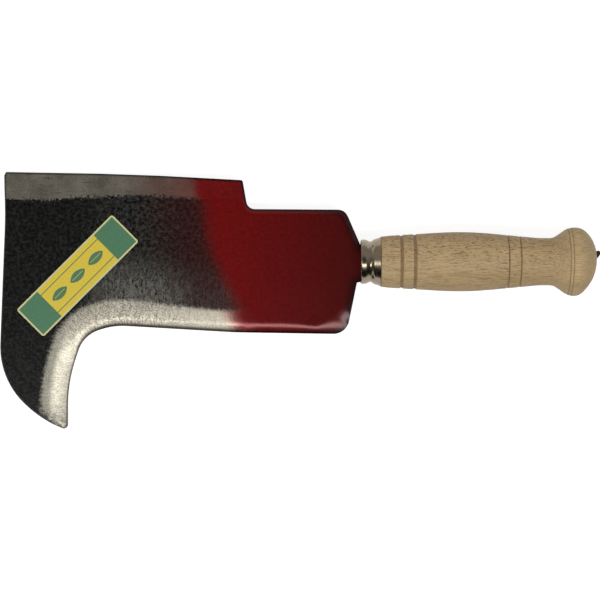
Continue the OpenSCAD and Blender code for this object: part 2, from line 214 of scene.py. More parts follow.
# blade: forged plate, ground on both edges; lengths in mm, outline as corners [x, y, radius]
blade = {
    "outline": [
        [0, -13, 0], [0, 10.5, 0], [-9.8, 33, 7], [-71.6, 33.4, 5.5], [-74.8, 51.8, 1.5],
        [-127, 54.6, 300], [-165, 55.9, 300], [-226.2, 57, 0.8], [-225.3, 30, 300],
        [-229.3, -72.6, 50], [-205.7, -98.2, 74], [-185.7, -107.4, 2.6], [-185.7, -76.2, 95],
        [-175.9, -47, 20], [-157.5, -40.3, 46], [-80, -44.85, 200], [-8.9, -45.95, 10], [-2.2, -13, 0.8],
    ],
    "heelHalf": 2.5, "taper": 0.0021882,  # half thickness at x = 0, and what it gains per mm of x
    "waves": 0.05,                        # depth of the hammer marks
    "edgeHalf": 0.12,                     # half thickness at the very edge
    # hook bevel: a steep edge up to the crest, shallower round the hook, then a long slope
    "edgeSlope": 0.28, "hookSlope": 0.165, "crestHalf": 1.45, "hookFrom": 196, "hookTo": 222,
    "crestEase": 0.1, "crestEaseHook": 0.25, "plateEase": 0.04,
    # its width by distance along the edge, from the ferrule on
    "bevelAt": [112, 130, 150, 170, 240, 265], "bevelWidth": [13.9, 14.5, 15.7, 17.4, 17.2, 17.5],
    "grindFrom": -86, "grindTo": -64,
    # back bevel: its width by x
    "backAt": [-226, -218, -200, -165, -140, -100, -75],
    "backWidth": [16.2, 17.8, 17, 14.4, 12.6, 13.4, 13.2], "backEase": 0.05,
    # heel: its lower edge is rounded, most broadly at the corner: width and fall by x
    "heelAt": [-50, -38, -28, -20, -11], "heelWidth": [7.7, 7.2, 6, 10.2, 13],
    "heelFall": [1.78, 1.7, 1.44, 1.85, 2],
    "heelRound": 4.4, "heelDrop": 1.2, "shoulderDrop": 0.7, "shoulderFrom": -40, "shoulderTo": -14,
    "rimRound": 0.7,
    # black skin left along the tip's outer rim: its width by y
    "tipSkinAt": [-106, -88], "tipSkin": [0.4, 5],
    # rulings: spacing along the hook edge, and where they turn upright or level
    "spacing": {"plain": 1.15, "step": 0.28, "throat": 0.3, "hook": 0.6, "tip": 0.22},
    "stepFrom": -77, "stepTo": -70, "throatX": -148, "hookY": -62, "tipY": -101,
    "uprightFrom": -105, "uprightTo": -80, "levelBelow": -76.5, "shortest": 0.35,
    # rows across a ruling, gathered toward both edges
    "lowReach": 24, "lowRows": 27, "topReach": 21, "topRows": 23, "midRows": 30, "gather": 1.8, "squeeze": 0.94,
}


def plateHalf(x):
    # half the plate's thickness, which thins evenly toward the nose
    return blade["heelHalf"] + blade["taper"] * x


def forgeWaves(x, y):
    # shallow hammer marks: three crossed swells, all of them below the true plate
    swell = np.sin(x / 5.1 + 1.3 * np.sin(y / 9)) * np.sin(y / 6.3 + 0.7)
    swell = swell + 0.7 * np.sin(x / 11 - y / 8.2) + 0.4 * np.sin(x / 2.9 + y / 3.7)
    return blade["waves"] * (2.1 + swell) / 2.1


outline = roundedLine(blade["outline"], True)
tipAt = int(np.argmin(outline[:, 1]))
backLine = outline[1:tipAt + 1]
hookLine = np.concatenate([outline[tipAt:], outline[:1]])[::-1]


def stationStep(s):
    # rulings stand closest where the far side spreads: the step, the throat and the tip
    x, y = resample(hookLine, s).T
    near = {
        "tip": y < blade["tipY"], "hook": y <= blade["hookY"], "throat": x < blade["throatX"],
        "step": (x > blade["stepFrom"]) & (x < blade["stepTo"]),
    }
    return np.select(list(near.values()), [blade["spacing"][key] for key in near], blade["spacing"]["plain"])


station = graded(lengthAlong(hookLine)[-1] - 0.05, stationStep)
foot = resample(hookLine, station)
ahead = heading(hookLine, station, 0.4)
# rulings stand square to the hook edge, upright over the heel and level at the tip, eased by a running mean
angle = np.degrees(np.arctan2(-ahead[:, 0], ahead[:, 1])) % 360
angle = blend(angle, 90, ramp(foot[:, 0], blade["uprightFrom"], blade["uprightTo"]))
angle = np.where(foot[:, 1] < blade["levelBelow"], 180, angle)
angle = np.radians(np.convolve(np.pad(angle, 6, mode="edge"), np.ones(13) / 13, mode="valid"))
ray = np.stack([np.cos(angle), np.sin(angle)], 1)

# each ruling runs to where it first meets the back, a line drawn on a little at the ferrule
backRun = np.concatenate([[backLine[0] + (backLine[0] - backLine[1]) * 0.2], backLine])
leg = np.diff(backRun, axis=0)
toLeg = backRun[None, :-1] - foot[:, None]
tiny = 1e-9
spanned = flatCross(ray[:, None], leg[None])
spanned = np.where(np.abs(spanned) < 1e-12, 1e-12, spanned)
far = flatCross(toLeg, leg[None]) / spanned
onLeg = flatCross(toLeg, ray[:, None]) / spanned
far = np.where((onLeg >= -tiny) & (onLeg <= 1 + tiny) & (far > 0), far, np.inf).min(1)
kept = np.isfinite(far) & (far > blade["shortest"])
foot, ray, far, station = foot[kept], ray[kept], far[kept], station[kept]
print("blade stations", len(far), "left out", int((~kept).sum()))

# rows across each ruling: close together at both edges, even between
lowRow = blade["lowReach"] * np.linspace(0, 1, blade["lowRows"]) ** blade["gather"]
topRow = blade["topReach"] * np.linspace(0, 1, blade["topRows"]) ** blade["gather"]
squeeze = np.minimum(1, blade["squeeze"] * far / (blade["lowReach"] + blade["topReach"]))[:, None]
lowEnd, topEnd = squeeze * lowRow[-1], far[:, None] - squeeze * topRow[-1]
between = blend(lowEnd, topEnd, np.linspace(0, 1, blade["midRows"] + 2)[1:-1])
across = np.concatenate([squeeze * lowRow, between, far[:, None] - (squeeze * topRow)[:, ::-1]], 1)
points = (foot[:, None] + ray[:, None] * across[..., None]).reshape(-1, 2)
plateGrid = across.shape
x, y = points.T
along = np.repeat(station, plateGrid[1])

# the parts of the outline that are worked in different ways, and each point's distance to them
hookX, hookY = hookLine.T
backX, backY = backLine.T
edges = {
    "ground": hookLine[hookX < -60],                          # hook edge, from the heel to the tip
    "heel": hookLine[(hookX > -100) & (hookX < -8)],          # lower edge of the heel
    "shoulder": hookLine[(hookX > -14) & (hookY < -13.01)],   # from that corner up to the ferrule
    "heelTop": backLine[(backX > -74.9) & (backY < 51)],      # from the ferrule over the top to the step
    "back": backLine[backY > 51.5],                           # back edge
    "rim": backLine[(backX < -224) | (backY < -60)],          # nose and outer rim of the hook
}
to = {name: distanceTo(line, points) for name, line in edges.items()}
half = plateHalf(x)
bevelWide = np.interp(along, blade["bevelAt"], blade["bevelWidth"])
backWide = np.interp(x, blade["backAt"], blade["backWidth"])


def easedEdge(d, width, drop):
    # parabola that falls away from the plate, flush with it at its inner end
    return half - drop * (1 - np.clip(d / width, 0, 1)) ** 2


# hook bevel: a steep edge, then a long shallow slope up to the plate, with a soft crest between
roundHook = ramp(along, blade["hookFrom"], blade["hookTo"])
slope = blend(blade["edgeSlope"], blade["hookSlope"], roundHook)
steep = blade["edgeHalf"] + slope * to["ground"]
crestAt = (blade["crestHalf"] - blade["edgeHalf"]) / slope
shallow = blend(blade["crestHalf"], half, (to["ground"] - crestAt) / (bevelWide - crestAt))
ground = smoothMin(steep, shallow, blend(blade["crestEase"], blade["crestEaseHook"], roundHook))
ground = smoothMin(ground, half, blade["plateEase"])
# heel: a broad rounding along the lower edge, which spreads out at the corner
lowHeel = easedEdge(
    to["heel"], np.interp(x, blade["heelAt"], blade["heelWidth"]),
    np.interp(x, blade["heelAt"], blade["heelFall"]))
grinding = np.where(y > 0, 1, 1 - ramp(x, blade["grindFrom"], blade["grindTo"]))
height = blend(lowHeel, ground, grinding)
backGround = blend(blade["edgeHalf"], half, to["back"] / backWide)
height = smoothMin(height, smoothMin(backGround, half, blade["backEase"]), 0.01)
shoulderDrop = blade["shoulderDrop"] * (1 - ramp(y, blade["shoulderFrom"], blade["shoulderTo"]))
height = np.minimum.reduce([
    height, easedEdge(to["heelTop"], blade["heelRound"], blade["heelDrop"]),
    easedEdge(to["shoulder"], blade["heelRound"], shoulderDrop),
    easedEdge(to["rim"], blade["rimRound"], blade["rimRound"])])
# the hammer marks fade to a quarter within 9 mm of a worked edge
worked = np.minimum.reduce([to[name] for name in ("ground", "back", "shoulder", "heel", "heelTop")])
height = np.maximum(height - forgeWaves(x, y) * blend(0.25, 1, ramp(worked, 1, 9)), blade["edgeHalf"])
upper = np.stack([x, y, height], 1).reshape(*plateGrid, 3)

# how far each point lies inside the two ground bevels, in mm, below 0 on the bevel
away = 40
onLow = np.where(y > 20, away, to["ground"] - bevelWide + away * ramp(x, -72, -64))
onLow = np.maximum(onLow, np.interp(y, blade["tipSkinAt"], blade["tipSkin"]) - to["rim"])
bladeValues = {
    "hookBevel": onLow, "backBevel": to["back"] - backWide, "edgeNear": np.minimum.reduce(list(to.values()))}
bladePiece = addPiece(
    "bladePlate", outAndBack(upper, upper * [1, 1, -1]), shellFaces(*plateGrid), "blade", 50,
    {key: outAndBack(value.reshape(plateGrid)) for key, value in bladeValues.items()},
    outAndBack(np.stack([along, to["ground"]], -1).reshape(*plateGrid, 2)))


# tang: tapered bar through the handle, its end hammered over at the crown
tang = {
    "path": [[-1.6, 0.6, 0], [147.9, 2.6, 3.2], [152.1, 6.5, 0]],
    # half width and half thickness by distance along the path
    "alongAt": [0, 3, 148, 152.5, 156.2], "wide": [5.1, 5.1, 2.3, 1.75, 1.1], "thick": [2.1, 2.4, 2.0, 1.9, 1.5],
    "corner": 5, "segments": 40, "bendFrom": 141, "tip": 0.6, "tipHalf": 0.25,
}
tangPath = roundedLine(tang["path"], False)
stop = lengthAlong(tangPath)[-1]
tangAt = np.concatenate([
    np.linspace(0, tang["bendFrom"] - 1, 24), np.linspace(tang["bendFrom"], stop - tang["tip"], 30),
    stop - tang["tip"] * (1 - np.linspace(0.2, 1, 6) ** 2)])
centre = resample(tangPath, tangAt)
way = heading(tangPath, tangAt, 0.3)
way = way / np.linalg.norm(way, axis=1)[:, None]
# rounded bar: a squared-off circle, sized by its place on the path and drawn in over the tip
turn = np.linspace(0, 2 * math.pi, tang["segments"], endpoint=False)
drawnIn = blend(tang["tipHalf"], 1, np.sqrt(np.clip((stop - tangAt) / tang["tip"], 0, 1)))
wide = (np.interp(tangAt, tang["alongAt"], tang["wide"]) * drawnIn)[:, None]
thick = (np.interp(tangAt, tang["alongAt"], tang["thick"]) * drawnIn)[:, None]
wide = wide * squaredOff(turn, tang["corner"]) * np.cos(turn)
thick = thick * squaredOff(turn, tang["corner"]) * np.sin(turn)
bar = np.stack([centre[:, :1] - way[:, 1:] * wide, centre[:, 1:] + way[:, :1] * wide, thick], -1)
# both ends close on a point in their middle
ends = np.stack([bar[0].mean(0), bar[-1].mean(0)])
j = np.arange(tang["segments"])
after = (j + 1) % tang["segments"]
lastRow = (len(tangAt) - 1) * tang["segments"]
hub = np.full(tang["segments"], bar.shape[0] * bar.shape[1])
tangFaces = np.concatenate([
    gridFaces(len(tangAt), tang["segments"], False, True), np.stack([hub, after, j, j], 1),
    np.stack([hub + 1, lastRow + j, lastRow + after, lastRow + after], 1)])
tangPiece = addPiece(
    "bladeTang", np.concatenate([bar.reshape(-1, 3), ends]), tangFaces, None, 50)


def turnedPiece(name, profile, node, segments, closed, values=None, sharp=35, mouth=None, lean=None):
    # a profile [x, radius] carried round the handle's axis; an open one meets the axis at both ends
    turn = np.linspace(0, 2 * math.pi, segments, endpoint=False)
    grid = np.stack([
        np.broadcast_to(profile[:, :1], (len(profile), segments)),
        profile[:, 1:] * np.cos(turn), profile[:, 1:] * np.sin(turn)], -1)
    if lean:
        # the crown sits a little askew: it slides along the axis with its height
        grid[..., 0] += lean["slope"] * ramp(profile[:, :1], lean["from"], lean["to"]) * grid[..., 1]
    if mouth:
        # the front plate draws in from its rim to an oblong slot, a squared-off circle
        inward = np.clip((mouth["rim"] - profile[:, 1]) / (mouth["rim"] - profile[:, 1].min()), 0, 1)
        inward = (inward * (profile[:, 0] < mouth["deep"]))[:, None]
        slotY = mouth["at"] + mouth["wide"] * squaredOff(turn, mouth["corner"]) * np.cos(turn)
        slotZ = mouth["high"] * squaredOff(turn, mouth["corner"]) * np.sin(turn)
        grid[..., 1] = blend(grid[..., 1], slotY, inward)
        grid[..., 2] = blend(grid[..., 2], slotZ, inward)
    faces = gridFaces(len(profile), segments, closed, True)
    spread = {key: np.repeat(value, segments) for key, value in (values or {}).items()}
    if not closed:
        # each end's ring lies on the axis, so it is one point
        first, last = np.arange(segments), np.arange(segments) + (len(profile) - 1) * segments
        join = np.arange(len(profile) * segments)
        join[first], join[last] = 0, last[0]
        faces = join[faces]
    return addPiece(name, grid, faces, node, sharp, spread)


# ferrule: drawn sheet with a bead, a crimped neck and a flared skirt, as corners [x, radius, rounding]
ferrule = {
    "outer": [[0, 6, 0], [0, 13.9, 0.8], [2.7, 14.4, 5], [6.4, 12.7, 1.2], [8.4, 14.2, 4], [12.8, 15.7, 0.25]],
    "inner": [[12.8, 14.9, 0.2], [8.4, 13.4, 3], [6.4, 11.9, 1], [2.7, 13.6, 4], [0.8, 13.1, 0.4], [0.8, 6, 0]],
    "segments": 160, "profilePoints": 190,
    # slot for the tang in the front plate: half sizes, centre and the rim that it draws in from
    "mouth": {"wide": 5.35, "high": 2.5, "at": 0.6, "rim": 11, "deep": 1, "corner": 8},
}
shell = roundedLine(ferrule["outer"] + ferrule["inner"], True, 0.12)
shell = np.concatenate([shell, shell[:1]])
shell = resample(shell, np.linspace(0, lengthAlong(shell)[-1], ferrule["profilePoints"], endpoint=False))
ferrulePiece = turnedPiece(
    "ferruleShell", shell, "ferrule", ferrule["segments"], True, mouth=ferrule["mouth"])

# handle: turned wood, spigot in the ferrule, belly, waist and pommel, with scored rings
handle = {
    "side": [
        [0.9, 0, 0], [0.9, 13, 0.5], [2.7, 13.5, 3], [6.4, 11.8, 1], [8.4, 13.3, 3], [12.9, 14.8, 0],
        [12.9, 15.9, 0], [17.9, 16.5, 20], [66, 19.45, 220], [113.1, 15, 60], [122.3, 15, 8],
        [132, 21.75, 11], [139.16, 21.75, 8.4], [149.6, 12.4, 24], [149.6, 0, 0],
    ],
    # scored rings: place, width and depth in mm
    "rings": [
        [25.8, 2.5, 0.55], [34.2, 2.5, 0.55], [93.1, 1.1, 0.45], [100.7, 1.1, 0.45],
        [131, 0.7, 0.3], [133, 0.7, 0.3],
    ],
    "spigotTo": 14, "segments": 128, "spacing": {"ring": 0.16, "spigot": 0.5, "plain": 0.9},
    "lean": {"slope": 0.05, "from": 131, "to": 146},
}
drawnSide = roundedLine(handle["side"], False, 0.3)
rings = np.array(handle["rings"])


def turningStep(s):
    # profile points stand closest at the scored rings
    x = resample(drawnSide, s)[:, 0]
    near = (np.abs(x[:, None] - rings[:, 0]) < rings[:, 1]).any(1)
    spacing = handle["spacing"]
    return np.select([near, x < handle["spigotTo"]], [spacing["ring"], spacing["spigot"]], spacing["plain"])


woodSide = resample(drawnSide, graded(lengthAlong(drawnSide)[-1], turningStep))
# each ring is a shallow parabola cut into the side
inSight = woodSide[:, 0] > handle["spigotTo"]
hollow = np.clip(1 - ((woodSide[:, :1] - rings[:, 0]) / (rings[:, 1] / 2)) ** 2, 0, 1)
woodSide[:, 1] -= np.where(inSight, (hollow * rings[:, 2]).max(1), 0)
woodSide[[0, -1], 1] = 0
burnt = np.where(inSight, hollow.max(1) ** 0.6, 0)
handlePiece = turnedPiece(
    "handleTurning", woodSide, "handle", handle["segments"], False, {"scorch": burnt},
    lean=handle["lean"])

# label: printed paper stuck askew across the blade, following its hammer marks
label = {
    "length": 85.6, "width": 24.1, "thick": 0.15, "corner": 1.6, "gap": 0.03,
    "centre": [-179.3, -8.9], "angle": 45, "longPoints": 180, "cornerPoints": 12, "widePoints": 60,
    "border": 1.1, "band": 17.5, "ruleAt": 7.6, "ruleHalf": 0.3,
    "leafGap": 16, "leafLong": 6.4, "leafWide": 3.0, "ribLong": 4.6, "ribHalf": 0.22,
}
halfLong, halfWide, corner = label["length"] / 2, label["width"] / 2, label["corner"]
cornerRun = corner * np.linspace(0, 1, label["cornerPoints"]) ** 2
sheetLong = np.unique(np.concatenate([
    np.linspace(-halfLong, halfLong, label["longPoints"]), halfLong - cornerRun, cornerRun - halfLong]))
# a rectangle whose half width follows a quarter circle at each corner
inset = np.clip(np.abs(sheetLong) - halfLong + corner, 0, corner)
reach = halfWide - corner + np.sqrt(np.maximum(corner ** 2 - inset ** 2, 0))
sheetT = reach[:, None] * np.linspace(-1, 1, label["widePoints"])
sheetS = np.broadcast_to(sheetLong[:, None], sheetT.shape)
tilt = math.radians(label["angle"])
sheetX = label["centre"][0] + sheetS * math.cos(tilt) - sheetT * math.sin(tilt)
sheetY = label["centre"][1] + sheetS * math.sin(tilt) + sheetT * math.cos(tilt)
under = plateHalf(sheetX) - forgeWaves(sheetX, sheetY) + label["gap"]


def leaf(s, t, long, wide):
    # the overlap of two equal circles whose points lie long apart
    r = (long ** 2 + wide ** 2) / (2 * wide)
    return np.hypot(s, np.abs(t) + r - wide) - r


# printed shapes as distances in mm, below 0 inside: border, end bands, a row of ribbed leaves between rules
gap = label["leafGap"]
leaves = [leaf(sheetS - place, sheetT, label["leafLong"], label["leafWide"]) for place in (-gap, 0, gap)]
rules = np.abs(np.abs(sheetT) - label["ruleAt"]) - label["ruleHalf"]
fromLeaf = np.abs((np.abs(sheetS) + gap / 2) % gap - gap / 2)
printed = {
    "border": np.maximum(np.abs(sheetS) - halfLong, np.abs(sheetT) - halfWide) + label["border"],
    "band": halfLong - label["band"] - np.abs(sheetS),
    "leaves": np.minimum.reduce([*leaves, rules]),
    "rib": np.maximum(np.abs(sheetT) - label["ribHalf"], fromLeaf - label["ribLong"]),
}
sheet = outAndBack(
    np.stack([sheetX, sheetY, under + label["thick"]], -1), np.stack([sheetX, sheetY, under], -1))
labelPiece = addPiece(
    "labelPaper", sheet, shellFaces(*sheetT.shape), "label", 40,
    {key: outAndBack(value) for key, value in printed.items()}, outAndBack(np.stack([sheetS, sheetT], -1)))


# steel: sizes of its patterns in mm, colours from dark to pale
steel = {
    "raggedSize": 2.2, "blotchSize": 2.3, "gritSize": 0.9, "cloudSize": 14, "scarSize": (13, 1.3),
    "scratchSize": (1.2, 5), "gritShare": 0.64, "relief": 0.05,
    "scale": "#030304", "speck": "#2f2f2b", "paleSpeck": "#4b4a45", "greyStreaks": "#8a8780",
    # the last colour on the next line is a painted shade for the very edge
    "ground": ("#6c675c", "#c1bbab"), "polishedLit": ("#b2ad9c", "#e6e1cf"), "edgeShade": "#2a2723",
    # the rim colour on the next line is a painted shade along the edges
    "back": ("#716c62", "#a69f92"), "scar": "#37332e", "rim": "#23201d",
    "skinRough": (0.17, 0.3), "groundRough": 0.4, "specular": 0.35,
    # ragged borders of the bevels: depth, and the mm inside the border where skin ends and bright steel begins
    "hookBorder": (8, 5.6, 1.8), "backBorder": (12, 6.6, 5.2),
    # painted shade along the very edge: from and to in mm, along the straight and round the hook
    "edgeShadeFrom": (0.8, 0.2), "edgeShadeTo": (2.9, 1.7),
    # shares that change from place to place: the way they run, from and to in mm, the values there
    "places": {
        "pastLabel": ("x", -185, -150, 0, 1, smooth),
        "toPaint": ("x", -138, -108, 1, 0.15, smooth),
        "clearOfPaint": ("x", -132, -98, 1, 0.25, smooth),
        "calmer": ("x", -140, -95, 0, 0.65, smooth),
        "handleShade": ("x", -84, -10, 0, 1, even),
        "shadedRimWidth": ("x", -26, -6, 2.1, 8, even),
        "roundHook": ("along", 192, 220, 0, 1, smooth),
        "beforeTip": ("along", 244, 264, 1, 0, even),
        "tipDull": ("along", 240, 264, 1, 0.7, even),
        "faded": ("inward", 7, 18, 1, 0.7, even),
        "hookBandLit": ("inward", 8.5, 13.5, 1, 0.42, smooth),
        "bandRise": ("inward", 2.5, 6.5, 0.72, 1, even),
    },
}
# paint: where it ends in mm of x at y = 0, how it slants, how far it reaches over the bevels, and its reds, of
# which the darker red and the two near-blacks are painted shade toward the handle and along the heel's edges
paint = {
    "border": (-97.8, -80.8), "mist": (-132.8, -82.8), "mistMost": 0.19, "mistOnBack": 2.9, "mistOnHook": -0.8,
    "slant": 0.45, "upperSlant": 0.16, "bend": (8, 60), "drift": 5, "overHook": 6.4, "overBack": 8,
    "red": ("#8b1213", "#5c1010"), "patch": "#440a0a", "shadedRim": "#1d0a0a", "rim": "#0b0606",
    "gleam": 0.2, "rough": 0.2,
}


def forgedSteel():
    # carbon steel, hot forged and oiled black, bevels ground on a stone, heel sprayed red:
    # a dark mottled skin, bright brushed bevels with ragged borders, a soft edge of gloss paint
    material, tree = newMaterial("forgedCarbonSteel")
    place, edgeMap = (addNode(tree, "ShaderNodeTexCoord", out=key) for key in ("Object", "UV"))
    x, y = addNode(tree, "ShaderNodeSeparateXYZ", {0: place}, None)[:2]
    along, inward = addNode(tree, "ShaderNodeSeparateXYZ", {0: edgeMap}, None)[:2]
    share = {}
    for key, (way, start, end, first, last, how) in steel["places"].items():
        share[key] = addNode(tree, "ShaderNodeMapRange", {
            "Value": {"x": x, "along": along, "inward": inward}[way],
            "From Min": start * mm, "From Max": end * mm, "To Min": first, "To Max": last}, **how)
    hook, back, rimNear = (
        addNode(tree, "ShaderNodeAttribute", out="Fac", attribute_name=key)
        for key in ("hookBevel", "backBevel", "edgeNear"))
    ragged, blotch, grit, cloud = (
        addNode(tree, "ShaderNodeTexNoise", {
            "Vector": place, "Scale": 1 / (steel[key] * mm), "Detail": detail, "Roughness": roughness})
        for key, detail, roughness in (
            ("raggedSize", 5, 0.75), ("blotchSize", 5, 0.75), ("gritSize", 3, 0.7), ("cloudSize", 3, 0.5)))
    # scratches across the edge, drawn 1.2 mm wide so that they show, and 5 mm long
    wide, long = steel["scratchSize"]
    streak = addNode(tree, "ShaderNodeMapping", {
        "Vector": edgeMap, "Scale": (1 / (wide * mm), 1 / (long * mm), 1)})
    streak = addNode(tree, "ShaderNodeTexNoise", {
        "Vector": streak, "Scale": 1, "Detail": 4, "Roughness": 0.65, "Distortion": 0.8})

    # both bevels end in a ragged border, softer on the hook
    onBevel = []
    for inside, (deep, start, end) in ((hook, steel["hookBorder"]), (back, steel["backBorder"])):
        frayed = addNode(tree, "ShaderNodeMath", {0: ragged, 1: deep, 2: inside}, operation="MULTIPLY_ADD")
        onBevel.append(addNode(tree, "ShaderNodeMapRange", {
            "Value": frayed, "From Min": start, "From Max": end}, **smooth))
    onHook, onBack = onBevel

    # skin: black scale, paler between the label and the paint
    blotch = addNode(tree, "ShaderNodeMapRange", {"Value": blotch, "From Min": 0.43, "From Max": 0.7})
    paler = addNode(tree, "ShaderNodeMath", {0: share["pastLabel"], 1: share["toPaint"]}, operation="MULTIPLY")
    speck = addNode(tree, "ShaderNodeMix", {
        0: paler, 6: linear(steel["speck"]), 7: linear(steel["paleSpeck"])}, **colours)
    skin = addNode(tree, "ShaderNodeMix", {0: blotch, 6: linear(steel["scale"]), 7: speck}, **colours)
    # paler grey in streaks beside the hook bevel
    greyStreaks = addNode(tree, "ShaderNodeMix", {0: 0.45, 2: streak, 3: grit})
    greyStreaks = addNode(tree, "ShaderNodeMapRange", {"Value": greyStreaks, "From Min": 0.41, "From Max": 0.66})
    beside = addNode(tree, "ShaderNodeMapRange", {"Value": hook, "From Min": 34, "From Max": 2}, **smooth)
    for limit in (beside, share["pastLabel"], share["clearOfPaint"]):
        greyStreaks = addNode(tree, "ShaderNodeMath", {0: greyStreaks, 1: limit}, operation="MULTIPLY")
    skin = addNode(tree, "ShaderNodeMix", {0: greyStreaks, 6: skin, 7: linear(steel["greyStreaks"])}, **colours)

    # hook bevel: brushed, calmer toward the paint, with a finer polish round the hook that dulls toward the tip,
    # its paler colour there partly a painted highlight
    brushed = addNode(tree, "ShaderNodeMix", {0: steel["gritShare"], 2: streak, 3: grit})
    brushed = addNode(tree, "ShaderNodeMix", {0: share["calmer"], 2: brushed, 3: 0.5})
    grain = addNode(tree, "ShaderNodeMapRange", {"Value": brushed, "From Min": 0.42, "From Max": 0.58})
    bright, polishedLit = (
        addNode(tree, "ShaderNodeMix", {0: grain, 6: linear(dark), 7: linear(pale)}, **colours)
        for dark, pale in (steel["ground"], steel["polishedLit"]))
    hookPolishLit = addNode(tree, "ShaderNodeMath", {
        0: share["roundHook"], 1: share["beforeTip"]}, operation="MULTIPLY")
    bright = addNode(tree, "ShaderNodeMix", {0: hookPolishLit, 6: bright, 7: polishedLit}, **colours)
    # a painted shade along the very edge
    edgeShadeFrom, edgeShadeTo = (
        addNode(tree, "ShaderNodeMapRange", {
            "Value": share["roundHook"], "To Min": straight * mm, "To Max": curved * mm})
        for straight, curved in (steel["edgeShadeFrom"], steel["edgeShadeTo"]))
    polish = addNode(tree, "ShaderNodeMapRange", {
        "Value": inward, "From Min": edgeShadeFrom, "From Max": edgeShadeTo, "To Min": 0.06}, **smooth)
    # fading toward the plate, more so round the hook, where the bright middle band is partly a painted highlight,
    # and pitted toward the tip
    hookBandLit = addNode(tree, "ShaderNodeMath", {0: share["hookBandLit"], 1: share["bandRise"]}, operation="MULTIPLY")
    faded = addNode(tree, "ShaderNodeMix", {0: hookPolishLit, 2: share["faded"], 3: hookBandLit})
    pits = addNode(tree, "ShaderNodeMapRange", {
        "Value": ragged, "From Min": 0.47, "From Max": 0.6, "To Min": 1, "To Max": 0.2})
    pits = addNode(tree, "ShaderNodeMix", {0: share["beforeTip"], 2: pits, 3: 1.0})
    for loss in (faded, share["tipDull"], pits):
        polish = addNode(tree, "ShaderNodeMath", {0: polish, 1: loss}, operation="MULTIPLY")
    bright = addNode(tree, "ShaderNodeMix", {0: polish, 6: linear(steel["edgeShade"]), 7: bright}, **colours)

    # back bevel: worn and duller, with dark scars some 13 mm long and a painted shade along its rim
    worn = addNode(tree, "ShaderNodeMath", {0: cloud, 1: grit}, operation="ADD")
    worn = addNode(tree, "ShaderNodeMapRange", {"Value": worn, "From Min": 0.7, "From Max": 1.25})
    dark, pale = steel["back"]
    dull = addNode(tree, "ShaderNodeMix", {0: worn, 6: linear(dark), 7: linear(pale)}, **colours)
    long, wide = steel["scarSize"]
    scar = addNode(tree, "ShaderNodeMapping", {
        "Vector": place, "Scale": (1 / (long * mm), 1 / (wide * mm), 1)})
    scar = addNode(tree, "ShaderNodeTexNoise", {"Vector": scar, "Scale": 1, "Detail": 3, "Roughness": 0.6})
    scar = addNode(tree, "ShaderNodeMapRange", {
        "Value": scar, "From Min": 0.6, "From Max": 0.7, "To Max": 0.8})
    # a painted shade within 1.6 mm of every edge, on the back bevel and on the paint
    rimShade = addNode(tree, "ShaderNodeMapRange", {
        "Value": rimNear, "From Min": 1.6, "From Max": 0.3, "To Max": 0.85})
    for over, key in ((scar, "scar"), (rimShade, "rim")):
        dull = addNode(tree, "ShaderNodeMix", {0: over, 6: dull, 7: linear(steel[key])}, **colours)
    colour = addNode(tree, "ShaderNodeMix", {0: onBack, 6: skin, 7: dull}, **colours)
    colour = addNode(tree, "ShaderNodeMix", {0: onHook, 6: colour, 7: bright}, **colours)

    # paint: sprayed from the heel, its border slants, drifts and fades over some 17 mm
    sprayed = addNode(tree, "ShaderNodeMath", {0: y, 1: paint["slant"], 2: x}, operation="MULTIPLY_ADD")
    # above the middle it is steeper, and it reaches further over the bright bevels
    start, end = paint["bend"]
    bend = addNode(tree, "ShaderNodeMapRange", {
        "Value": y, "From Min": start * mm, "From Max": end * mm,
        "To Max": (paint["upperSlant"] - paint["slant"]) * (end - start) * mm})
    for cause, shift in (
            (cloud, paint["drift"] * mm), (bend, 1), (onHook, paint["overHook"] * mm),
            (onBack, paint["overBack"] * mm)):
        sprayed = addNode(tree, "ShaderNodeMath", {0: cause, 1: shift, 2: sprayed}, operation="MULTIPLY_ADD")
    painted, mist = (
        addNode(tree, "ShaderNodeMapRange", {
            "Value": sprayed, "From Min": start * mm, "From Max": end * mm, "To Max": most}, **how)
        for (start, end), most, how in (
            (paint["border"], 1, smooth), (paint["mist"], paint["mistMost"], even)))
    # a thin mist goes further, and shows more on the back bevel than on the hook's
    shows = 1
    for bevel, gain in ((onBack, paint["mistOnBack"]), (onHook, paint["mistOnHook"])):
        shows = addNode(tree, "ShaderNodeMath", {0: bevel, 1: gain, 2: shows}, operation="MULTIPLY_ADD")
    mist = addNode(tree, "ShaderNodeMath", {0: mist, 1: shows}, operation="MULTIPLY")
    painted = addNode(tree, "ShaderNodeMath", {0: painted, 1: mist}, operation="MAXIMUM")
    # it is darker toward the handle, a painted shade, and deeper in patches; along the heel's rounded rim
    # it darkens to near black, a painted shade that is widest at the shoulder
    pale, dark = paint["red"]
    red = addNode(tree, "ShaderNodeMix", {0: share["handleShade"], 6: linear(pale), 7: linear(dark)}, **colours)
    uneven = addNode(tree, "ShaderNodeMapRange", {
        "Value": ragged, "From Min": 0.38, "From Max": 0.66, "To Max": 0.6})
    shadedRim = addNode(tree, "ShaderNodeMapRange", {
        "Value": rimNear, "From Min": share["shadedRimWidth"], "From Max": 0.6, "To Max": 0.75}, **smooth)
    for over, key in ((uneven, "patch"), (shadedRim, "shadedRim"), (rimShade, "rim")):
        red = addNode(tree, "ShaderNodeMix", {0: over, 6: red, 7: linear(paint[key])}, **colours)
    colour = addNode(tree, "ShaderNodeMix", {0: painted, 6: colour, 7: red}, **colours)

